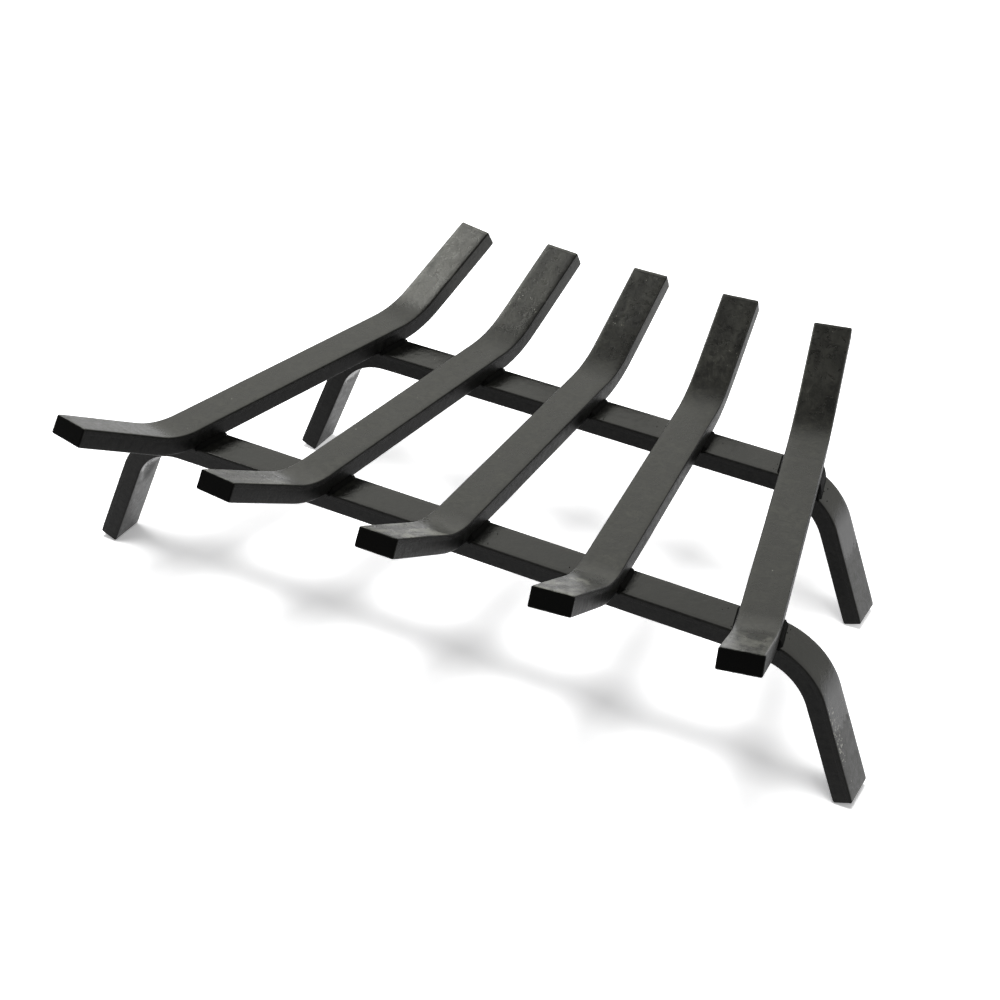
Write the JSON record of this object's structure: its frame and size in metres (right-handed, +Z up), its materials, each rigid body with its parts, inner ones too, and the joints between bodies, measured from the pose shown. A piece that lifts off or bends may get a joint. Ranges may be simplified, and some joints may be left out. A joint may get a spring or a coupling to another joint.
{
  "type": "fireplace log grate",
  "caption": "Fireplace log grate of bent flat steel bars that fan out to the front, welded across two rails bent down into splayed legs.",
  "frame": {"origin": "on the hearth, under the middle of the grate's bounding box", "axes": "+X to the right along the rails, +Y to the back of the fireplace, +Z up"},
  "size_m": [0.5376, 0.3768, 0.1509],
  "materials": {
    "bar_paint": "satin black heat-resistant paint on hot-rolled flat bar, lightly scuffed",
    "weld_paint": "the same paint over rippled weld metal"
  },
  "bodies": {
    "root": {"log_bar_1": "bar_paint", "log_bar_2": "bar_paint", "log_bar_3": "bar_paint", "log_bar_4": "bar_paint", "log_bar_5": "bar_paint", "front_leg_rail": "bar_paint", "rear_leg_rail": "bar_paint", "weld_front_1_left": "weld_paint", "weld_front_1_right": "weld_paint", "weld_front_2_left": "weld_paint", "weld_front_2_right": "weld_paint", "weld_front_3_left": "weld_paint", "weld_front_3_right": "weld_paint", "weld_front_4_left": "weld_paint", "weld_front_4_right": "weld_paint", "weld_front_5_left": "weld_paint", "weld_front_5_right": "weld_paint", "weld_rear_1_left": "weld_paint", "weld_rear_1_right": "weld_paint", "weld_rear_2_left": "weld_paint", "weld_rear_2_right": "weld_paint", "weld_rear_3_left": "weld_paint", "weld_rear_3_right": "weld_paint", "weld_rear_4_left": "weld_paint", "weld_rear_4_right": "weld_paint", "weld_rear_5_left": "weld_paint", "weld_rear_5_right": "weld_paint"}
  },
  "joints": []
}
